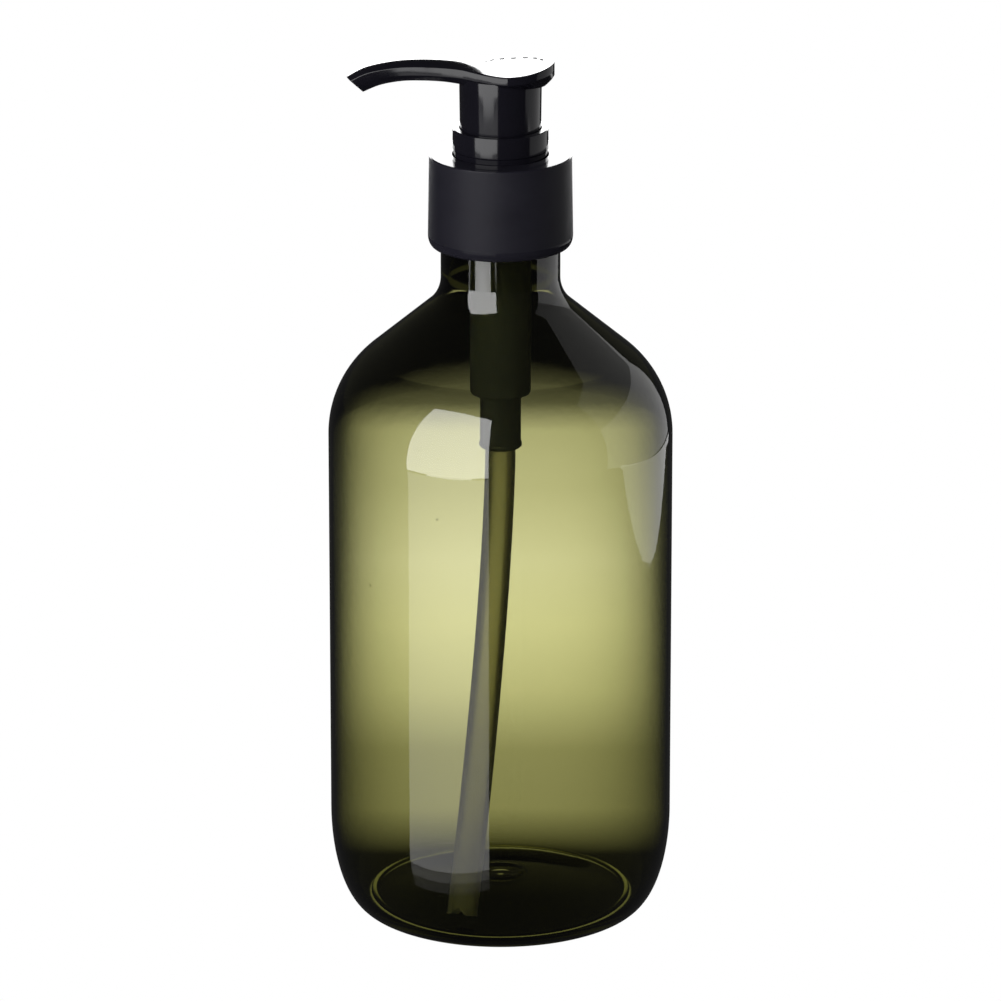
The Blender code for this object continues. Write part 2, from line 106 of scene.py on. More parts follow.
CYLINDER_R = 6.6 * MM
CYLINDER_BORE = 5.8 * MM
CYLINDER_FLOOR = 118.0 * MM
SPRING_FOOT = CYLINDER_FLOOR + 0.2 * MM
CUP_R = 10.8 * MM
CUP_BORE = 10.1 * MM
CUP_FLOOR = 154.7 * MM
VENT_HEIGHT = 152.1 * MM
SOCKET_R = 4.45 * MM
SOCKET_BOTTOM = 103.5 * MM
SOCKET_TOP = 109.4 * MM
STEM_R = 4.25 * MM
STEM_BORE = 2.5 * MM
STEM_BOTTOM = 148.2 * MM
SPRING_SEAT = 141.4 * MM
PISTON_BOTTOM = 145.0 * MM
BALL_R = 2.5 * MM
TUBE_R = 3.3 * MM
TUBE_BORE = 2.4 * MM
TUBE_END = Vector((-8.4, -24.5, 3.6)) * MM
TUBE_BOW = 1.5
SKIRT_BORE = 7.45 * MM
SKIRT_BOTTOM = 168.6 * MM
PAD_CENTRE = 1.6 * MM
PAD_LENGTH = 10.0 * MM
PAD_WIDTH = 9.7 * MM
PAD_BOTTOM = 185.5 * MM
PAD_LOW = 188.68 * MM
PAD_SCOOP = 12.5
MARK_CENTRE = (2.8 * MM, 1.4 * MM)
MARK_ARC_R = 6.4 * MM
MARK_SIZE = (0.3 * MM, 0.16 * MM, 1.1 * MM)


# --- shader maths ---------------------------------------------------------------------------------
class Field:
    """A value that varies over a surface; sums and products on it become Math nodes."""

    def __init__(self, surface, socket):
        self.surface = surface
        self.socket = socket

    def maths(self, operation, *others):
        return self.surface.node(
            "ShaderNodeMath", {"operation": operation}, dict(enumerate((self, *others)))
        )

    def __add__(self, other):
        return self.maths("ADD", other)

    def __mul__(self, other):
        return self.maths("MULTIPLY", other)

    def __sub__(self, other):
        return self.maths("SUBTRACT", other)

    def __rsub__(self, other):
        return self.surface.node(
            "ShaderNodeMath", {"operation": "SUBTRACT"}, {0: other, 1: self}
        )

    __radd__ = __add__
    __rmul__ = __mul__


class Surface:
    """A material, or the world, and the nodes that make its finish."""

    def __init__(self, name, owner=None):
        self.owner = owner or bpy.data.materials.new(name)
        self.owner.use_nodes = True
        self.tree = self.owner.node_tree
        self.shader = self.tree.nodes.get("Principled BSDF")

    def node(self, kind, settings=None, values=None, output=0):
        """Add a node: its settings are set first, then the values or links of its sockets."""
        made = self.tree.nodes.new(kind)
        for key, value in (settings or {}).items():
            if key == "stops":
                ramp = made.color_ramp
                while len(ramp.elements) < len(value):
                    ramp.elements.new(1.0)
                for stop, (place, colour) in zip(ramp.elements, value):
                    stop.position = place
                    stop.color = colour
            else:
                setattr(made, key, value)
        for key, value in (values or {}).items():
            if isinstance(value, Field):
                self.tree.links.new(value.socket, made.inputs[key])
            else:
                made.inputs[key].default_value = value
        return Field(self, made.outputs[output])

    def set(self, **values):
        """Constants of the shader, by socket name with _ for a space."""
        for key, value in values.items():
            self.shader.inputs[key.replace("_", " ")].default_value = value
        return self

    def feed(self, name, field):
        self.tree.links.new(field.socket, self.shader.inputs[name])
        return self

    def place(self):
        return self.node("ShaderNodeTexCoord", output="Object")

    def noise(self, scale, detail, place=None):
        values = {"Vector": place or self.place(), "Scale": scale, "Detail": detail}
        return self.node("ShaderNodeTexNoise", values=values)

    def stretched(self, x, y, z):
        """The place on the piece, scaled along each axis, so that a pattern runs one way."""
        values = {"Vector": self.place(), "Scale": (x, y, z)}
        return self.node("ShaderNodeMapping", {"vector_type": "POINT"}, values)

    def axis(self, name):
        return self.node("ShaderNodeSeparateXYZ", values={0: self.place()}, output=name)

    def between(self, field, low, high, to_low=0.0, to_high=1.0):
        """field from low to high, eased, as a number from to_low to to_high."""
        ends = {"From Min": low, "From Max": high, "To Min": to_low, "To Max": to_high}
        return self.node(
            "ShaderNodeMapRange", {"interpolation_type": "SMOOTHSTEP"}, {"Value": field, **ends}
        )

    def tint(self, field, low, high):
        """A colour that goes from low to high with field."""
        mixed = self.tree.nodes.new("ShaderNodeMix")
        mixed.data_type = "RGBA"
        self.tree.links.new(field.socket, mixed.inputs["Factor"])
        mixed.inputs[6].default_value = (*low, 1.0)
        mixed.inputs[7].default_value = (*high, 1.0)
        return Field(self, mixed.outputs[2])

    def relief(self, height, depth, strength):
        """Feed a bump of this depth in metres to the shader's normal."""
        bump = self.node(
            "ShaderNodeBump",
            values={"Strength": strength, "Distance": depth, "Height": height},
            output="Normal",
        )
        return self.feed("Normal", bump)


def polished_black(name, colour=(0.0035, 0.0033, 0.005), rough=0.07):
    """Injection-moulded polypropylene from a polished mould: slight flow ripple, fine scuffs."""
    s = Surface(name).set(IOR=1.49, Specular_IOR_Level=0.26)
    flow = s.noise(120.0, 2.0)
    scuff = s.noise(900.0, 4.0, s.stretched(1.0, 1.0, 0.12))
    s.feed("Base Color", s.tint(flow, colour, tuple(1.5 * c for c in colour)))
    s.feed("Roughness", rough + 0.07 * scuff)
    s.relief(flow + 0.06 * scuff, 0.00002, 0.5)
    return s.owner


def painted_reflection_grey(name):
    """The raised marks: a dull grey painted into their colour, a painted reflection of the pale
    light they catch on the gloss black pad, a little mottled.
    """
    s = Surface(name).set(IOR=1.49, Specular_IOR_Level=0.08)
    mottle = s.noise(1400.0, 3.0)
    # painted reflection: the grey base colour of the marks stands in for the light they reflect
    s.feed("Base Color", s.tint(mottle, (0.10, 0.10, 0.105), (0.17, 0.17, 0.175)))
    s.feed("Roughness", 0.6 + 0.15 * mottle)
    s.relief(mottle, 0.00001, 0.4)
    return s.owner


def satin_black(name):
    """The cap: fine matt sides, a little greyer where it is handled, polished top and edges."""
    s = Surface(name).set(IOR=1.49, Specular_IOR_Level=0.1)
    grain = s.noise(5200.0, 3.0)
    handled = s.noise(90.0, 3.0, s.stretched(1.0, 1.0, 2.5))
    height = s.axis("Z")
    low, high = CAP_BOTTOM + CAP_EDGE_RISE + FOOT, CAP_TOP + FOOT
    side = s.between(height, low - 0.4 * MM, low + 0.2 * MM)
    side = side * s.between(height, high - 0.35 * MM, high - 0.1 * MM, 1.0, 0.0)
    s.feed("Base Color", s.tint(handled, (0.0065, 0.0062, 0.0092), (0.0115, 0.011, 0.0155)))
    s.feed("Roughness", 0.09 + 0.02 * grain + side * (0.36 + 0.08 * handled))
    s.relief(side * grain, 0.000022, 0.5)
    return s.owner


def green_pet(name):
    """Blown PET: clear olive green, its wall a touch uneven, with a few fine specks."""
    s = Surface(name).set(IOR=1.57, Transmission_Weight=1.0, Specular_IOR_Level=0.5)
    wall = s.noise(38.0, 2.0, s.stretched(1.0, 1.0, 0.35))
    skin = s.noise(420.0, 2.0)
    fleck = s.node("ShaderNodeTexVoronoi", values={"Vector": s.place(), "Scale": 85.0})
    clear = s.between(fleck, 0.018, 0.034)
    s.feed("Base Color", s.tint(clear, (0.5, 0.5, 0.42), (1.0, 1.0, 1.0)))
    s.feed("Roughness", 0.012 + 0.02 * skin)
    s.relief(wall + 0.03 * skin, 0.00022, 0.35)
    volume = s.tree.nodes.new("ShaderNodeVolumeAbsorption")
    volume.inputs["Color"].default_value = (0.75, 0.755, 0.09, 1.0)
    volume.inputs["Density"].default_value = 620.0
    s.tree.links.new(volume.outputs[0], s.tree.nodes["Material Output"].inputs["Volume"])
    return s.owner


def natural_plastic(name, clear, low, high, rough):
    """Undyed polyolefin: milky, a little clearer in some places than in others."""
    s = Surface(name).set(IOR=1.5, Transmission_Weight=clear)
    cloud = s.noise(260.0, 3.0, s.stretched(1.0, 1.0, 0.15))
    s.feed("Base Color", s.tint(cloud, low, high))
    s.feed("Roughness", rough + 0.1 * cloud)
    s.relief(s.noise(1500.0, 2.0), 0.00001, 0.4)
    return s.owner


def soft_white(name):
    """Soft polyethylene of the seals."""
    s = Surface(name).set(IOR=1.5)
    cloud = s.noise(300.0, 3.0)
    s.feed("Base Color", s.tint(cloud, (0.74, 0.74, 0.70), (0.82, 0.82, 0.79)))
    s.feed("Roughness", 0.38 + 0.15 * cloud)
    s.relief(s.noise(2500.0, 2.0), 0.00001, 0.4)
    return s.owner


def spring_wire(name):
    """Drawn stainless wire with fine die lines and faint heat colour."""
    s = Surface(name).set(Metallic=1.0)
    lines = s.noise(3000.0, 3.0, s.stretched(1.0, 1.0, 8.0))
    warmth = s.noise(200.0, 2.0)
    s.feed("Base Color", s.tint(warmth, (0.52, 0.51, 0.49), (0.66, 0.65, 0.64)))
    s.feed("Roughness", 0.22 + 0.16 * lines)
    s.relief(lines, 0.00001, 0.5)
    return s.owner


def ball_glass(name):
    """Ground and polished glass."""
    s = Surface(name).set(IOR=1.52, Transmission_Weight=1.0, Base_Color=(0.93, 0.97, 0.95, 1.0))
    s.feed("Roughness", 0.02 + 0.05 * s.noise(1500.0, 2.0))
    s.relief(s.noise(3000.0, 2.0), 0.000004, 0.3)
    return s.owner


# --- shapes ---------------------------------------------------------------------------------------
pieces = bpy.data.collections.new("finished_pieces")
bpy.context.scene.collection.children.link(pieces)


def as_object(name, work, material, crease=32, lift=FOOT):
    """A closed bmesh, moved up on to the foot, as a smooth object whose sharp edges stay sharp."""
    bmesh.ops.translate(work, vec=(0.0, 0.0, lift), verts=work.verts)
    bmesh.ops.remove_doubles(work, verts=work.verts, dist=1e-7)
    bmesh.ops.recalc_face_normals(work, faces=work.faces)
    mesh = bpy.data.meshes.new(name)
    work.to_mesh(mesh)
    work.free()
    mesh.shade_smooth()
    mesh.set_sharp_from_angle(angle=radians(crease))
    obj = bpy.data.objects.new(name, mesh)
    pieces.objects.link(obj)
    if material:
        mesh.materials.append(material)
    return obj


def skin(work, rings, loop=False):
    """Quads between rings of vertices that all have the same number; a ring of one is a pole."""
    pairs = list(zip(rings, rings[1:]))
    if loop:
        pairs.append((rings[-1], rings[0]))
    for near, far in pairs:
        count = max(len(near), len(far))
        if count == 1:
            continue
        for i in range(count):
            j = (i + 1) % count
            if len(near) == 1:
                work.faces.new((near[0], far[j], far[i]))
            elif len(far) == 1:
                work.faces.new((near[i], near[j], far[0]))
            else:
                work.faces.new((near[i], near[j], far[j], far[i]))


def softened(corners, rounding=0.15 * MM, steps=4, closed=True):
    """The corners, each one rounded; a third number in a corner is its own radius."""
    found = []
    count = len(corners)
    for i, corner in enumerate(corners):
        point = Vector(corner[:2])
        radius = corner[2] if len(corner) > 2 else rounding
        if radius == 0 or (not closed and i in (0, count - 1)):
            found.append(tuple(point))
            continue
        back = Vector(corners[i - 1][:2]) - point
        on = Vector(corners[(i + 1) % count][:2]) - point
        turn = pi - back.angle(on)
        reach = min(radius * tan(min(turn, 2.6) / 2), 0.45 * back.length, 0.45 * on.length)
        start, end = point + back.normalized() * reach, point + on.normalized() * reach
        for k in range(steps + 1):
            t = k / steps
            found.append(tuple((1 - t) ** 2 * start + 2 * t * (1 - t) * point + t * t * end))
    return found


def turned(name, outline, material, steps=144):
    """An outline of (radius, height) turned about Z. It is a loop unless it starts on the axis."""
    work = bmesh.new()
    rings = []
    for radius, height in outline:
        if radius < 1e-7:
            rings.append([work.verts.new((0.0, 0.0, height))])
            continue
        angles = [2 * pi * i / steps for i in range(steps)]
        rings.append([work.verts.new((radius * cos(a), radius * sin(a), height)) for a in angles])
    skin(work, rings, loop=outline[0][0] > 1e-7)
    return as_object(name, work, material)


def lofted(name, sections, material, crease=32):
    """A skin over sections of equal count, with a flat cap on both ends."""
    work = bmesh.new()
    rings = [[work.verts.new(point) for point in section] for section in sections]
    skin(work, rings)
    work.faces.new(rings[0])
    work.faces.new(rings[-1])
    return as_object(name, work, material, crease)


def cut(obj, other, operation="DIFFERENCE"):
    """Apply a Boolean with other, which is used up."""
    modifier = obj.modifiers.new("cut", "BOOLEAN")
    modifier.operation = operation
    modifier.solver = "EXACT"
    modifier.object = other
    bpy.context.view_layer.update()
    graph = bpy.context.evaluated_depsgraph_get()
    mesh = bpy.data.meshes.new_from_object(obj.evaluated_get(graph))
    obj.modifiers.clear()
    work = bmesh.new()
    work.from_mesh(mesh)
    bmesh.ops.remove_doubles(work, verts=work.verts, dist=1e-7)
    bmesh.ops.dissolve_degenerate(work, edges=work.edges, dist=1e-7)
    work.to_mesh(mesh)
    work.free()
    mesh.shade_smooth()
    mesh.set_sharp_from_angle(angle=radians(32))
    obj.data = mesh
    bpy.data.objects.remove(other)
    return obj


def block(name, centre, size, turn=None):
    """A box used only to cut or to add to another piece."""
    work = bmesh.new()
    bmesh.ops.create_cube(work, size=1.0)
    bmesh.ops.scale(work, vec=size, verts=work.verts)
    if turn:
        bmesh.ops.transform(work, matrix=turn, verts=work.verts)
    bmesh.ops.translate(work, vec=centre, verts=work.verts)
    return as_object(name, work, None)


def arc(centre, radii, start, end, count):
    """Points along an arc of an ellipse, both ends included."""
    angles = [start + (end - start) * i / count for i in range(count + 1)]
    return [(centre[0] + radii[0] * cos(a), centre[1] + radii[1] * sin(a)) for a in angles]


def thread(name, root, crest, start, turns, pitch, half, material, per_turn=96):
    """A right-hand thread ridge with softened flanks whose ends run out to nothing."""
    sections = []
    count = round(per_turn * turns)
    for i in range(count + 1):
        angle = 2 * pi * i / per_turn
        share = min(1.0, angle / radians(30), (2 * pi * turns - angle) / radians(30))
        height = 0.15 + 0.85 * share * share * (3 - 2 * share)
        tip = root + (crest - root) * height
        z = start + pitch * angle / (2 * pi)
        ridge = [
            (root, z - half * height, 0),
            (tip, z - 0.5 * half * height, 0.25 * MM),
            (tip, z + 0.5 * half * height, 0.25 * MM),
            (root, z + half * height, 0),
        ]
        sections.append(
            [(r * cos(angle), r * sin(angle), h) for r, h in softened(ridge, steps=3)]
        )
    return lofted(name, sections, material)


# --- geometry nodes: a sweep along a path, and marks along a path ---------------------------------
def new_tree(name, sizes):
    """A geometry tree with a Geometry input, named sizes and a material, and its two end nodes."""
    tree = bpy.data.node_groups.new(name, "GeometryNodeTree")
    tree.interface.new_socket("Geometry", in_out="INPUT", socket_type="NodeSocketGeometry")
    for label, kind in sizes:
        tree.interface.new_socket(label, in_out="INPUT", socket_type=kind)
    tree.interface.new_socket("Material", in_out="INPUT", socket_type="NodeSocketMaterial")
    tree.interface.new_socket("Geometry", in_out="OUTPUT", socket_type="NodeSocketGeometry")
    start, end = tree.nodes.new("NodeGroupInput"), tree.nodes.new("NodeGroupOutput")
    return tree, start, end


def finish_tree(tree, start, end, geometry):
    """Realize what the tree made and give it the material input."""
    realize = tree.nodes.new("GeometryNodeRealizeInstances")
    paint = tree.nodes.new("GeometryNodeSetMaterial")
    tree.links.new(geometry, realize.inputs[0])
    tree.links.new(realize.outputs[0], paint.inputs["Geometry"])
    tree.links.new(start.outputs["Material"], paint.inputs["Material"])
    tree.links.new(paint.outputs[0], end.inputs[0])
    return tree


def sweep_tree():
    """A round section carried along a path and closed at its ends."""
    sizes = (("Radius", "NodeSocketFloat"), ("Sides", "NodeSocketInt"))
    tree, start, end = new_tree("round_sweep", sizes)
    section = tree.nodes.new("GeometryNodeCurvePrimitiveCircle")
    carry = tree.nodes.new("GeometryNodeCurveToMesh")
    tree.links.new(start.outputs["Sides"], section.inputs["Resolution"])
    tree.links.new(start.outputs["Radius"], section.inputs["Radius"])
    tree.links.new(start.outputs["Geometry"], carry.inputs["Curve"])
    tree.links.new(section.outputs[0], carry.inputs["Profile Curve"])
    carry.inputs["Fill Caps"].default_value = True
    return finish_tree(tree, start, end, carry.outputs[0])


def marks_tree():
    """Small raised bars spaced evenly along a path, each in line with it."""
    sizes = (
        ("Count", "NodeSocketInt"),
        ("Size", "NodeSocketVector"),
    )
    tree, start, end = new_tree("raised_marks", sizes)
    spread = tree.nodes.new("GeometryNodeCurveToPoints")
    bar = tree.nodes.new("GeometryNodeMeshCube")
    place = tree.nodes.new("GeometryNodeInstanceOnPoints")
    tree.links.new(start.outputs["Geometry"], spread.inputs["Curve"])
    tree.links.new(start.outputs["Count"], spread.inputs["Count"])
    tree.links.new(start.outputs["Size"], bar.inputs["Size"])
    for axis, count in (("X", 2), ("Y", 7), ("Z", 2)):
        bar.inputs[f"Vertices {axis}"].default_value = count
    tree.links.new(spread.outputs["Points"], place.inputs["Points"])
    tree.links.new(spread.outputs["Rotation"], place.inputs["Rotation"])
    tree.links.new(bar.outputs["Mesh"], place.inputs["Instance"])
    return finish_tree(tree, start, end, place.outputs[0])


def run_tree(name, tree, points, material, **sizes):
    """The mesh that a tree makes along the points, as a plain object."""
    curve = bpy.data.curves.new(name, "CURVE")
    curve.dimensions = "3D"
    spline = curve.splines.new("POLY")
    spline.points.add(len(points) - 1)
    for point, place in zip(spline.points, points):
        point.co = (*place, 1.0)
    guide = bpy.data.objects.new(name + "_path", curve)
    pieces.objects.link(guide)
    modifier = guide.modifiers.new("shape", "NODES")
    modifier.node_group = tree
    for item in tree.interface.items_tree:
        if item.in_out == "INPUT" and item.name in sizes:
            modifier[item.identifier] = sizes[item.name]
        elif item.in_out == "INPUT" and item.name == "Material":
            modifier[item.identifier] = material
    bpy.context.view_layer.update()
    graph = bpy.context.evaluated_depsgraph_get()
    mesh = bpy.data.meshes.new_from_object(guide.evaluated_get(graph))
    bpy.data.objects.remove(guide)
    work = bmesh.new()
    work.from_mesh(mesh)
    return as_object(name, work, material)


# --- bottle ---------------------------------------------------------------------------------------
def bottle_outline(inset, bottom):
    """The bottle's side from the middle of the base to the neck, moved inwards by inset."""
    land = BODY_R - HEEL_WIDTH
    inner = land - BASE_LAND
    outline = []
    for i in range(72):
        share = i / 72
        radius = share * inner
        crater = GATE_DEPTH * exp(-((radius / GATE_R) ** 4))
        ridge = GATE_RIDGE * exp(-(((radius - GATE_RIDGE_R) / (0.6 * MM)) ** 2))
        height = bottom + BASE_RISE * cos(share * pi / 2) ** 1.4
        outline.append((radius, height - crater + ridge))
    outline += [(inner, bottom)]
    if inset:
        outline += arc((inner + 0.9 * MM, bottom), (0.8 * MM, 0.45 * MM), pi, 0, 12)
    outline += arc(
        (land, HEEL_HEIGHT), (HEEL_WIDTH - inset, HEEL_HEIGHT - bottom), -pi / 2, 0, 32
    )
    shoulder = (BODY_R - SHOULDER_R, BODY_TOP)
    outline += arc(shoulder, (SHOULDER_R - inset,) * 2, 0, SHOULDER_ANGLE, 28)
    slope_in = NECK_R + NECK_FILLET - NECK_FILLET * cos(SHOULDER_ANGLE)
    shoulder_r = BODY_R - SHOULDER_R + SHOULDER_R * cos(SHOULDER_ANGLE)
    run = (shoulder_r - slope_in) / sin(SHOULDER_ANGLE)
    centre_z = (
        BODY_TOP + (SHOULDER_R + NECK_FILLET) * sin(SHOULDER_ANGLE) + run * cos(SHOULDER_ANGLE)
    )
    outline += arc(
        (NECK_R + NECK_FILLET, centre_z), (NECK_FILLET + inset,) * 2, pi + SHOULDER_ANGLE, pi, 14
    )
    return outline


def make_bottle(material):
    lip = 0.35 * MM
    inside = [p for p in bottle_outline(WALL, 0.0) if p[1] < BORE_START - 1.8 * MM]
    inside += [(NECK_BORE + 0.15 * MM, BORE_START - MM), (NECK_BORE, BORE_START)]
    inside += arc((NECK_BORE + lip, NECK_TOP - lip), (lip, lip), pi, pi / 2, 4)
    outside = bottle_outline(0.0, -FOOT)
    outside += arc((NECK_R - lip, NECK_TOP - lip), (lip, lip), 0, pi / 2, 4)
    obj = turned("bottle_glazed", inside + outside[::-1], material, steps=192)
    ridge = thread(
        "bottle_thread",
        NECK_R - 0.4 * MM,
        NECK_R + 0.9 * MM,
        THREAD_START,
        1.5,
        THREAD_PITCH,
        MM,
        None,
    )
    return cut(obj, ridge, "UNION")


# --- cap, gasket, collar --------------------------------------------------------------------------
def make_cap(material):
    hole = COLLAR_R + 0.1 * MM
    mouth = CAP_R + 0.3 * MM
    outline = [
        (CAP_BORE + 0.2 * MM, CAP_BOTTOM, 0),
        (CAP_BORE, CAP_BOTTOM + 0.9 * MM, 0.3 * MM),
        (CAP_BORE, CAP_PLATE_LOW, 0.3 * MM),
        (hole, CAP_PLATE_LOW, 0.1 * MM),
        (hole, CAP_TOP, 0.08 * MM),
        (CAP_R, CAP_TOP, 0.3 * MM),
    ]
    middle = (mouth - CAP_EDGE, CAP_BOTTOM + CAP_EDGE_RISE)
    round_edge = arc(middle, (CAP_EDGE, CAP_EDGE_RISE), 0, -pi / 2, 14)
    outline += [(radius, height, 0) for radius, height in round_edge]
    return turned("cap_shell", softened(outline, steps=6), material, steps=192)


def make_cap_thread(material):
    return thread(
        "cap_thread",
        CAP_BORE + 0.4 * MM,
        NECK_R + 0.35 * MM,
        THREAD_START - THREAD_PITCH / 2 + 0.3 * MM,
        1.25,
        THREAD_PITCH,
        MM,
        material,
    )


def make_gasket(material):
    low, high = NECK_TOP + 0.2 * MM, NECK_TOP + 1.4 * MM
    outline = [(11.0 * MM, low), (11.0 * MM, high), (13.4 * MM, high), (13.4 * MM, low)]
    return turned("gasket_ring", softened(outline, 0.2 * MM), material)


def make_collar(material):
    sleeve, foot, flange = CUP_BORE - 0.2 * MM, 10.14 * MM, 12.9 * MM
    low, high = 155.0 * MM, 156.0 * MM
    flange_low, flange_high = 167.0 * MM, CAP_PLATE_LOW - 0.2 * MM
    outline = [
        (GUIDE_BORE, GUIDE_BOTTOM),
        (GUIDE_BORE, GUIDE_TOP),
        (GUIDE_R, GUIDE_TOP),
        (GUIDE_R, high, 0.3 * MM),
        (COLLAR_BORE, high, 0.3 * MM),
        (COLLAR_BORE, COLLAR_TOP, 0.12 * MM),
        (COLLAR_R - 0.05 * MM, COLLAR_TOP, 0.25 * MM),
        (COLLAR_R, 170.9 * MM, 0.1 * MM),
        (foot, 170.6 * MM, 0.1 * MM),
        (foot, flange_high, 0.1 * MM),
        (flange, flange_high),
        (flange, flange_low),
        (sleeve, flange_low, 0.1 * MM),
        (sleeve, low),
        (GUIDE_R, low),
        (GUIDE_R, GUIDE_BOTTOM),
    ]
    return turned("collar_moulding", softened(outline), material, steps=160)


# --- housing, dip tube and ball -------------------------------------------------------------------
def make_housing(material):
    hole, seat, pocket, flange = TUBE_R + 0.2 * MM, 1.6 * MM, 3.3 * MM, 13.2 * MM
    flange_low, flange_high, shelf = 165.6 * MM, 166.8 * MM, 115.8 * MM
    outline = [
        (hole, SOCKET_BOTTOM, 0.3 * MM),
        (hole, SOCKET_TOP, 0.1 * MM),
        (seat, SOCKET_TOP, 0.1 * MM),
        (seat, 110.6 * MM, 0.1 * MM),
        (pocket, 112.6 * MM, 0.2 * MM),
        (pocket, CYLINDER_FLOOR),
        (CYLINDER_BORE, CYLINDER_FLOOR, 0.3 * MM),
        (CYLINDER_BORE, CUP_FLOOR, 0.2 * MM),
        (CUP_BORE, CUP_FLOOR, 0.4 * MM),
        (CUP_BORE, flange_high),
        (flange, flange_high),
        (flange, flange_low),
        (CUP_R, flange_low),
        (CUP_R, CUP_FLOOR - 1.2 * MM, 0.5 * MM),
        (CYLINDER_R, CUP_FLOOR - 2.2 * MM, 0.5 * MM),
        (CYLINDER_R, shelf, 0.8 * MM),
        (SOCKET_R, shelf, 0.3 * MM),
        (SOCKET_R, SOCKET_BOTTOM + 1.4 * MM, 0.1 * MM),
        (SOCKET_R + 0.2 * MM, SOCKET_BOTTOM + 1.0 * MM, 0.1 * MM),
        (SOCKET_R + 0.2 * MM, SOCKET_BOTTOM + 0.4 * MM, 0.1 * MM),
        (SOCKET_R - 0.2 * MM, SOCKET_BOTTOM, 0.1 * MM),
    ]
    obj = turned("housing_moulding", softened(outline), material, steps=120)
    for i in range(3):
        turn = Matrix.Rotation(2 * pi * i / 3, 4, "Z")
        centre = turn @ Vector((2.95 * MM, 0, 117.5 * MM))
        nib = block(f"nib_{i}", centre, (1.5 * MM, 1.2 * MM, 0.9 * MM), turn)
        cut(obj, nib, "UNION")
    vent = [(0, 0, VENT_HEIGHT), (0, -flange, VENT_HEIGHT)]
    return cut(obj, run_tree("vent", sweep, vent, None, Radius=0.5 * MM, Sides=24))


def tube_line(drop):
    bend = drop**TUBE_BOW
    height = SOCKET_BOTTOM + (TUBE_END.z - SOCKET_BOTTOM) * drop
    return Vector((TUBE_END.x * bend, TUBE_END.y * bend, height))


def make_dip_tube(material):
    """A tube along its bend, bored through, with a V in its end so that it can't seal shut."""
    top = Vector((0, 0, SOCKET_TOP - 0.2 * MM))
    line = [top] + [tube_line(i / 40) for i in range(41)]
    aim = (line[-1] - line[-2]).normalized()
    obj = run_tree("dip_tube_drawn", sweep, line, material, Radius=TUBE_R, Sides=48)
    bore = [top + Vector((0, 0, MM))] + line[:-1] + [line[-1] + aim * MM]
    cut(obj, run_tree("bore", sweep, bore, None, Radius=TUBE_BORE, Sides=48))
    across = Vector((0, 0, 1)).cross(aim).normalized()
    facing = Matrix((across, aim.cross(across), -aim)).transposed().to_4x4()
    turn = facing @ Matrix.Rotation(radians(45), 4, "Y")
    size = (3.0 * MM, 4 * TUBE_R, 3.0 * MM)
    return cut(obj, block("notch", line[-1] + aim * 0.4 * MM, size, turn))


def make_ball(material):
    """The check ball, on its seat where the solid one lies."""
    low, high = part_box("inlet_ball")
    centre = (low + high) / 2 - Vector((0, 0, FOOT))
    work = bmesh.new()
    bmesh.ops.create_uvsphere(work, u_segments=48, v_segments=32, radius=BALL_R)
    bmesh.ops.translate(work, vec=centre, verts=work.verts)
    return as_object("check_ball", work, material, 80)


# --- stems, piston and spring ---------------------------------------------------------------------
def make_upper_stem(material):
    top = PAD_BOTTOM - 0.4 * MM
    inside = [(STEM_BORE, STEM_BOTTOM), (STEM_BORE, top)]
    outside = [(STEM_R, top, 0.4 * MM), (STEM_R, STEM_BOTTOM)]
    return turned("stem_tube", softened(inside + outside), material, steps=96)


def make_lower_stem(material):
    plug, rod, disc, waist = STEM_BORE - 0.15 * MM, 2.5 * MM, 4.4 * MM, 2.6 * MM
    bottom, top = 133.0 * MM, 157.0 * MM
    outline = [
        (0.0, bottom, 0),
        (rod - 0.4 * MM, bottom, 0.3 * MM),
        (rod, bottom + MM, 0.3 * MM),
        (rod, SPRING_SEAT, 0.2 * MM),
        (disc, SPRING_SEAT, 0.2 * MM),
        (disc, SPRING_SEAT + 2.0 * MM, 0.15 * MM),
        (waist, PISTON_BOTTOM - 0.2 * MM, 0.1 * MM),
        (waist, STEM_BOTTOM - 0.2 * MM, 0.1 * MM),
        (plug, STEM_BOTTOM, 0.1 * MM),
        (plug, top - MM, 0.2 * MM),
        (plug - 0.5 * MM, top, 0.2 * MM),
        (0.0, top, 0),
    ]
    obj = turned("valve_stem_plug", softened(outline, closed=False), material, steps=96)
    for side in (-1, 1):
        flute = block("flute", (side * 2.4 * MM, 0, 152 * MM), (1.8 * MM, 1.6 * MM, 12 * MM))
        cut(obj, flute)
    return obj


def make_piston(material):
    top, lip, waist = PISTON_BOTTOM + 6.6 * MM, CYLINDER_BORE - 0.15 * MM, 5.1 * MM
    floor = STEM_BOTTOM - 1.8 * MM
    bore = STEM_R + 0.15 * MM
    hole = 2.95 * MM
    outline = [
        (hole, PISTON_BOTTOM),
        (hole, floor),
        (bore, floor),
        (bore, top - 1.2 * MM),
        (lip - 0.5 * MM, top),
        (lip, top),
        (lip, top - 0.6 * MM, 0.4 * MM),
        (waist, top - 2.0 * MM, 0.5 * MM),
        (waist, PISTON_BOTTOM + 1.6 * MM, 0.5 * MM),
        (lip, PISTON_BOTTOM + 0.6 * MM, 0.4 * MM),
        (lip, PISTON_BOTTOM),
    ]
    return turned("piston_seal", softened(outline, 0.12 * MM), material, steps=120)


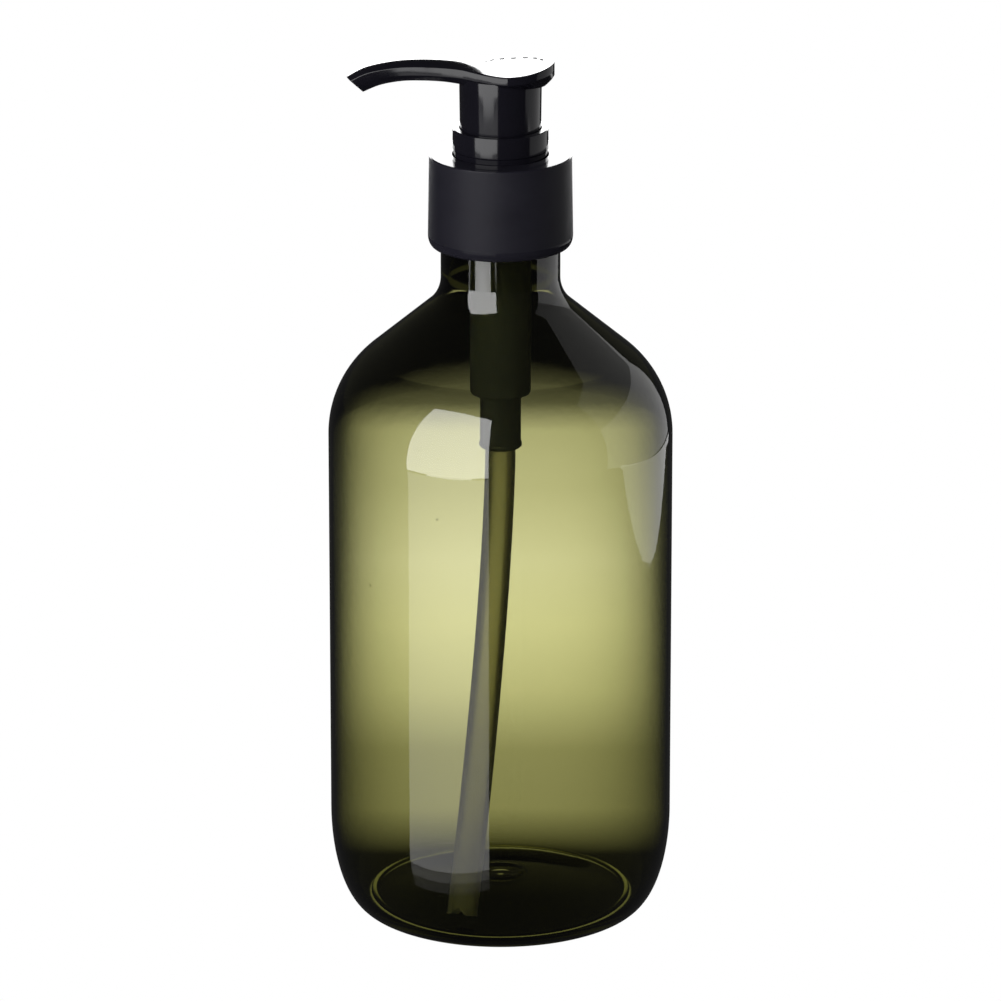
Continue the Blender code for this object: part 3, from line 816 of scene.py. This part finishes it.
def make_spring(material):
    """A compression coil whose end turns lie closed."""
    wire, radius, turns, per_turn = 0.45 * MM, 3.9 * MM, 8.5, 40
    low, high = SPRING_FOOT + wire, SPRING_SEAT - 0.2 * MM - wire
    flat = 1.15 * 2 * wire
    count = round(turns * per_turn)
    line = []
    for i in range(count + 1):
        rise = min(max((i - per_turn) / (count - 2 * per_turn), 0.0), 1.0)
        closed = flat * (min(i / per_turn, 1.0) + max((i - count + per_turn) / per_turn, 0.0))
        angle = 2 * pi * i / per_turn
        height = low + closed + (high - low - 2 * flat) * rise
        line.append((radius * cos(angle), radius * sin(angle), height))
    return run_tree("spring_coil", sweep, line, material, Radius=wire, Sides=14)


# --- head -----------------------------------------------------------------------------------------
# In mm: X and Z where the side meets the top, X and Z below, half width, crown of the top, lip.
SPOUT = (
    (5.0, 188.90, 5.0, 185.5, 9.12, -0.12, 1.0),
    (1.6, 188.69, 1.6, 185.5, 9.70, -0.12, 1.4),
    (-2.0, 188.78, -2.0, 185.5, 8.5, 0.0, 1.7),
    (-5.6, 189.00, -5.6, 185.7, 6.5, 0.4, 1.6),
    (-8.6, 189.28, -8.5, 185.85, 4.95, 0.72, 1.0),
    (-12.5, 189.40, -12.2, 186.2, 3.95, 0.95, 0.5),
    (-17.3, 189.50, -16.6, 186.35, 3.52, 0.98, 0.3),
    (-22.6, 189.20, -21.2, 186.15, 3.1, 0.95, 0.3),
    (-28.4, 188.10, -25.8, 185.25, 2.95, 0.90, 0.3),
    (-32.4, 186.25, -29.5, 183.7, 3.0, 0.80, 0.3),
)
SPOUT_STEPS = 10
# Where the points of the top lie, from its middle to its edge, and the pad's sections, in degrees.
TOP_SHARES = (0.12, 0.25, 0.38, 0.51, 0.64, 0.77, 0.88)
PAD_ANGLES = (1, 3, 6, 10, 15, 20, 26, 32, 38, 45, 52, 60, 68, 76, 83)
PAD_EDGE = 2.4 * MM
HEAD_SIDE = 1.75 * MM
MOUTH_HALF = 3.0 * MM
BORE_RISE = 0.2 * MM
BORE_R = 1.2 * MM
MOUTH_BORE_R = 1.45 * MM
BORE_LENGTH = 26


def curve_through(rows, steps):
    """Rows of numbers joined by a smooth curve, with this many steps between two of them."""
    padded = [rows[0], *rows, rows[-1]]
    found = []
    for i in range(1, len(padded) - 2):
        before, here, there, after = padded[i - 1 : i + 3]
        for k in range(steps):
            t = k / steps
            found.append([])
            for a, b, c, d in zip(before, here, there, after):
                cubic = 2 * a - 5 * b + 4 * c - d + t * (3 * (b - c) + d - a)
                found[-1].append(b + 0.5 * t * (c - a + t * cubic))
    return found + [list(rows[-1])]


def head_section(upper, lower, width, crown, side, lip):
    """One outline across the head: arched or hollow top, lip, upright side, chamfer below."""
    rise = Vector((upper[0] - lower[0], 0.0, upper[1] - lower[1]))
    height = rise.length
    rise.normalize()
    half = [(s * width, height + crown * (1 - s * s), 0) for s in TOP_SHARES]
    half += [
        (width, height, lip),
        (width, height - side, 0.5 * MM),
        (0.8 * width, 0.0, 0.6 * MM),
    ]
    loop = [(0.0, height + crown, 0), *half, (0.0, 0.0, 0)]
    loop += [(-y, z, radius) for y, z, radius in reversed(half)]
    foot = Vector((lower[0], 0.0, lower[1]))
    return [foot + rise * z + Vector((0.0, y, 0.0)) for y, z in softened(loop, steps=4)]


def pad_height(x):
    """The height of the hollow thumb pad, which is lowest a little behind the pump's axis."""
    return PAD_LOW + PAD_SCOOP * (x - 0.8 * MM) ** 2


def section_ends(row):
    """The upper and lower end of the head's section in a row of the spout's table."""
    return Vector((row[0], 0, row[1])) * MM, Vector((row[2], 0, row[3])) * MM


def pad_section(angle):
    """A section of the thumb pad, round behind; angle runs from its back end to its middle."""
    x = PAD_CENTRE + PAD_LENGTH * cos(angle)
    top = pad_height(x)
    past = max(0.0, (x - PAD_CENTRE - PAD_LENGTH + PAD_EDGE) / PAD_EDGE)
    low = top - (top - PAD_BOTTOM) * (1 - 0.33 * past)
    side = min(HEAD_SIDE, 0.8 * (top - low))
    width = PAD_WIDTH * sin(angle)
    lip = min(0.9 * MM, 0.4 * width)
    return head_section((x, top), (x, low), width, -0.12 * MM * sin(angle), side, lip)


def make_head(material):
    """Thumb pad and spout in one skin that turns in at the mouth and runs back along the bore."""
    sections = [pad_section(radians(angle)) for angle in PAD_ANGLES]
    rows = curve_through(SPOUT, SPOUT_STEPS)[SPOUT_STEPS:]
    for x, z, low_x, low_z, *rest in rows:
        width, crown, lip = (size * MM for size in rest)
        side = HEAD_SIDE + 0.15 * MM * min(1.0, max(0.0, (1.6 - x) / 10))
        top, foot = (x * MM, z * MM), (low_x * MM, low_z * MM)
        sections.append(head_section(top, foot, width, crown, side, lip))
    mouth = sections[-1]
    for point in mouth:
        point.x += 0.5 * MM * (point.y / MOUTH_HALF) ** 2
    upper, lower = section_ends(rows[-1])
    up = (upper - lower).normalized()
    out = up.cross(Vector((0, 1, 0)))
    centre = (upper + lower) / 2 + up * BORE_RISE
    for shrink, push in ((0.965, 0.10 * MM), (0.90, 0.12 * MM)):
        sections.append([centre + (point - centre) * shrink + out * push for point in mouth])
    sections += bore_rings(mouth, rows, centre)
    return lofted("head_moulding", sections, material, 40)


def bore_rings(mouth, rows, centre):
    """Rings of the spout's bore, each with a point for every point of the mouth's outline."""
    rings = []
    for row in reversed(rows[-BORE_LENGTH:]):
        upper, lower = section_ends(row)
        up = (upper - lower).normalized()
        middle = (upper + lower) / 2 + up * BORE_RISE
        radius = BORE_R if rings else MOUTH_BORE_R
        ring = []
        for point in mouth:
            angle = atan2((point - centre).dot(up), point.y)
            ring.append(middle + up * radius * sin(angle) + Vector((0, radius * cos(angle), 0)))
        rings.append(ring)
    return rings


def make_skirt(material):
    top, root, foot = 187.0 * MM, 8.86 * MM, 8.66 * MM
    outline = [
        (SKIRT_BORE, SKIRT_BOTTOM),
        (SKIRT_BORE, top),
        (root, top),
        (root, top - 3.0 * MM, 0.0),
        (foot, SKIRT_BOTTOM, 0.25 * MM),
    ]
    return turned("head_skirt", softened(outline), material, steps=160)


def make_socket(material):
    bore, outside = STEM_R + 0.15 * MM, 5.4 * MM
    low, high = 178.4 * MM, PAD_BOTTOM + 0.3 * MM
    outline = [(bore, low), (bore, high), (outside, high), (outside, low)]
    return turned("head_stem_socket", softened(outline), material, steps=96)


def make_marks(material):
    """Small raised bars in an arc round the back of the thumb pad."""
    places = arc(MARK_CENTRE, (MARK_ARC_R, MARK_ARC_R), radians(20), radians(160), 40)
    line = [(x, y, pad_height(x)) for x, y in places]
    return run_tree("pad_marks", marks, line, material, Count=7, Size=MARK_SIZE)


def lock_thread(name, root, crest, start, material):
    """A short coarse thread: one of the pair that holds the head down for transport."""
    return thread(name, root, crest, start, 0.6, 2.4 * MM, 0.65 * MM, material, 72)


def make_collar_lock(material):
    return lock_thread("collar_lock_thread", GUIDE_R - 0.3 * MM, 6.8 * MM, 156.8 * MM, material)


def make_head_lock(material):
    return lock_thread("head_lock_thread", SKIRT_BORE + 0.3 * MM, 5.9 * MM, 169.6 * MM, material)


# --- put the pieces on their bodies ---------------------------------------------------------------
sweep, marks = sweep_tree(), marks_tree()
pet = green_pet("clear_olive_pet")
cap_skin = satin_black("satin_black_cap")
gloss = polished_black("polished_black")
stem_black = polished_black("stem_black", (0.012, 0.012, 0.014))
mark_reflection_grey = painted_reflection_grey("dull_grey_marks")
# The housing is milky translucent plastic; its dark grey base colour is painted shade for the dim
# inside of the bottle.
milky = natural_plastic(
    "milky_polypropylene", 0.65, (0.11, 0.122, 0.10), (0.135, 0.148, 0.122), rough=0.3
)
tube_plastic = natural_plastic(
    "tube_polyethylene", 0.8, (0.74, 0.72, 0.52), (0.84, 0.82, 0.62), rough=0.12
)
white = soft_white("soft_white")
wire = spring_wire("spring_steel")
glass = ball_glass("check_ball_glass")

fitted = [
    (make_bottle(pet), "bottle", "bottle", "green_pet"),
    (make_cap(cap_skin), "closure", "closure_cap", "matt_black"),
    (make_cap_thread(cap_skin), "closure", None, "matt_black"),
    (make_gasket(white), "pump_core", "neck_gasket", "soft_white"),
    (make_collar(gloss), "pump_core", "lock_collar", "gloss_black"),
    (make_collar_lock(gloss), "pump_core", None, "gloss_black"),
    (make_housing(milky), "pump_core", "pump_housing", "milky"),
    (make_dip_tube(tube_plastic), "pump_core", "dip_tube", "milky"),
    (make_ball(glass), "inlet_valve", "inlet_ball", "clear_glass"),
    (make_upper_stem(stem_black), "head", "upper_stem", "stem_black"),
    (make_lower_stem(stem_black), "valve_stem", "lower_stem", "stem_black"),
    (make_piston(white), "piston", "piston", "soft_white"),
    (make_head(gloss), "head", "pump_head", "gloss_black"),
    (make_skirt(gloss), "head", None, "gloss_black"),
    (make_socket(gloss), "head", None, "gloss_black"),
    (make_head_lock(gloss), "head", None, "gloss_black"),
    (make_marks(mark_reflection_grey), "head", None, "gloss_black"),
]
for piece, body, node, slot in fitted:
    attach(piece, body)
    if node:
        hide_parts(node)
coil = make_spring(wire)
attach(coil, "pump_core")
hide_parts("return_spring")
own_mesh(coil)


# --- studio ---------------------------------------------------------------------------------------
WHITE = (1, 1, 1, 1)
# The table's glow: distance behind the bottle in metres, brightness, and blue's share of it.
GLOW = (
    (0.0, 0.0, 0.7),
    (0.026, 0.01, 0.7),
    (0.058, 0.36, 0.7),
    (0.0985, 0.37, 0.68),
    (0.141, 0.70, 0.80),
    (0.19, 0.88, 0.88),
    (0.24, 0.90, 0.98),
    (0.30, 0.67, 0.90),
    (0.354, 0.60, 0.86),
    (0.386, 0.12, 0.8),
    (0.43, 0.0, 0.8),
)
ROOM_LIGHT = 0.03
CAMERA_PLACE = (0.0, -1.50267, 0.57469 + FOOT)
CAMERA_PITCH = radians(17.841)
CAMERA_LENS = 259.77
GLOW_REACH = 0.5
GLOW_HALF = 0.038
GLOW_SPREAD = 0.062
# Brightness of the other light on the table, and the distances over which it comes and goes.
HALO_AROUND = 0.5
HALO_BEHIND = 0.11
HALO_START = (0.05, 0.20)
HALO_END = (0.28, 0.42)
FOOT_GLOW = 0.26
FOOT_GLOW_START = (0.0279, 0.0286)
FOOT_GLOW_END = (0.0292, 0.0300)
GATE_GLOW = 0.3
GATE_GLOW_END = (0.0010, 0.0034)
GATE_GLOW_Y = 0.0125

# Name, azimuth, distance, heights, width, radiance, and whether it shows through the bottle's wall.
PANELS = (
    ("front_panel", -35.5, 1.10, (-0.135, 1.50), 1.16, 5.8, False),
    ("front_panel_inside", -35.5, 1.10, (-0.14, 1.50), 1.16, 1.1, True),
    ("front_panel_low", -35.5, 1.10, (-0.50, -0.17), 1.16, 1.7, False),
    ("front_panel_foot", -35.5, 1.10, (-0.62, -0.50), 1.16, 0.6, False),
    ("front_panel_toe", -35.5, 1.10, (-0.76, -0.62), 1.16, 0.2, False),
    ("front_panel_edge", -34.0, 1.10, (-0.17, -0.135), 0.60, 4.4, False),
    ("right_panel", 111.0, 1.00, (-0.19, 0.55), 1.50, 0.7, False),
    ("right_panel_top", 111.0, 1.00, (0.55, 1.40), 1.50, 0.25, False),
    ("right_panel_low", 118.0, 1.00, (-0.235, -0.19), 1.25, 1.15, False),
    ("back_panel", 180.0, 1.15, (-0.06, 0.59), 1.60, 8.0, False),
)


def make_panel(name, azimuth, distance, heights, width, radiance, through):
    """An upright glowing panel that faces the bottle and that the camera doesn't see.

    Its azimuth is counted in degrees from the front, positive to the right, and its heights are
    those of its lower and upper edge.
    """
    data = bpy.data.lights.new(name, "AREA")
    data.shape = "RECTANGLE"
    data.size, data.size_y = width, heights[1] - heights[0]
    data.energy = radiance * pi * data.size * data.size_y
    obj = bpy.data.objects.new(name, data)
    bpy.context.scene.collection.objects.link(obj)
    turn = radians(azimuth)
    obj.location = (distance * sin(turn), -distance * cos(turn), (heights[0] + heights[1]) / 2)
    obj.rotation_euler = (pi / 2, 0.0, turn)
    obj.visible_camera = False
    obj.visible_transmission = through
    return obj


def keep_off(light, shaded):
    """Let a light shine on every piece but the shaded one."""
    lit = bpy.data.collections.new(light.name + "_lights")
    for piece in pieces.objects:
        if piece != shaded:
            lit.objects.link(piece)
    light.light_linking.receiver_collection = lit


def make_floor():
    """A white table. Through the bottle, what shows of it is a glow that falls on it.

    The glow is a bright band behind the bottle, a weaker halo all round, a thin ring of light under
    the foot and a spot that the gate's dimple catches. Light that has glanced off a wall inside the
    bottle doesn't see it, which keeps the shoulder dark.
    """
    work = bmesh.new()
    bmesh.ops.create_circle(work, cap_ends=True, segments=128, radius=6.0)
    s = Surface("table")
    rays = s.tree.nodes.new("ShaderNodeLightPath")

    def ray(kind):
        return Field(s, rays.outputs[kind])

    def emission(colour, strength):
        return s.node("ShaderNodeEmission", {}, {"Color": colour, "Strength": strength})

    def choose(kind, yes, no):
        return s.node("ShaderNodeMixShader", {}, {0: ray(kind), 1: no, 2: yes})

    x, y = s.axis("X"), s.axis("Y")
    half = GLOW_HALF + GLOW_SPREAD * y
    across = (x * x).maths("DIVIDE", half * half)
    fade = (across * across + 0.2 * across).maths("MULTIPLY", -1.0).maths("EXPONENT")
    straight = ray("Glossy Depth").maths("LESS_THAN", 0.5)
    stops = [
        (distance / GLOW_REACH, (level, 0.975 * level, blue * level, 1))
        for distance, level, blue in GLOW
    ]
    depth = s.node("ShaderNodeValToRGB", {"stops": stops}, {"Fac": (1 / GLOW_REACH) * y})
    reach = (x * x + y * y).maths("SQRT")
    backward = y.maths("DIVIDE", reach + 0.001)
    ring = s.between(backward, 0.30, 0.80, HALO_AROUND, HALO_BEHIND)
    ring = ring * s.between(reach, *HALO_START) * s.between(reach, *HALO_END, 1.0, 0.0)
    foot = s.between(reach, *FOOT_GLOW_START) * s.between(reach, *FOOT_GLOW_END, FOOT_GLOW, 0.0)
    behind = y - GATE_GLOW_Y
    near_gate = (x * x + behind * behind).maths("SQRT")
    gate = s.between(near_gate, *GATE_GLOW_END, GATE_GLOW, 0.0)
    spot = emission(depth, fade * straight)
    halo = emission(WHITE, (ring + foot + gate) * straight)
    through = s.node("ShaderNodeAddShader", {}, {0: spot, 1: halo})
    dull = s.node("ShaderNodeBsdfDiffuse", {}, {"Color": (0.35, 0.35, 0.35, 1)})
    ground = choose("Is Transmission Ray", through, dull)
    ground = choose("Is Camera Ray", emission(WHITE, 1.0), ground)
    s.tree.links.new(ground.socket, s.tree.nodes["Material Output"].inputs["Surface"])
    floor = as_object("table_top", work, s.owner, lift=-0.2 * MM)
    floor.visible_glossy = False


def make_world():
    """A white ground behind everything, and next to no light from the room."""
    world = bpy.data.worlds.new("room")
    bpy.context.scene.world = world
    s = Surface("room", world)
    rays = s.tree.nodes.new("ShaderNodeLightPath")
    strength = Field(s, rays.outputs["Is Camera Ray"]) * (1 - ROOM_LIGHT) + ROOM_LIGHT
    back = s.tree.nodes["Background"]
    back.inputs["Color"].default_value = WHITE
    s.tree.links.new(strength.socket, back.inputs["Strength"])


def make_camera():
    """A long lens a little above the bottle, looking down at it."""
    data = bpy.data.cameras.new("camera")
    data.sensor_width = 36.0
    data.sensor_fit = "HORIZONTAL"
    data.lens = CAMERA_LENS
    data.clip_end = 30.0
    obj = bpy.data.objects.new("camera", data)
    bpy.context.scene.collection.objects.link(obj)
    obj.location = CAMERA_PLACE
    obj.rotation_euler = (pi / 2 - CAMERA_PITCH, 0.0, 0.0)
    bpy.context.scene.camera = obj


make_floor()
make_world()
make_camera()
lights = {row[0]: make_panel(*row) for row in PANELS}
keep_off(lights["back_panel"], bpy.data.objects["bottle_glazed"])
bpy.context.scene.view_settings.view_transform = "Standard"
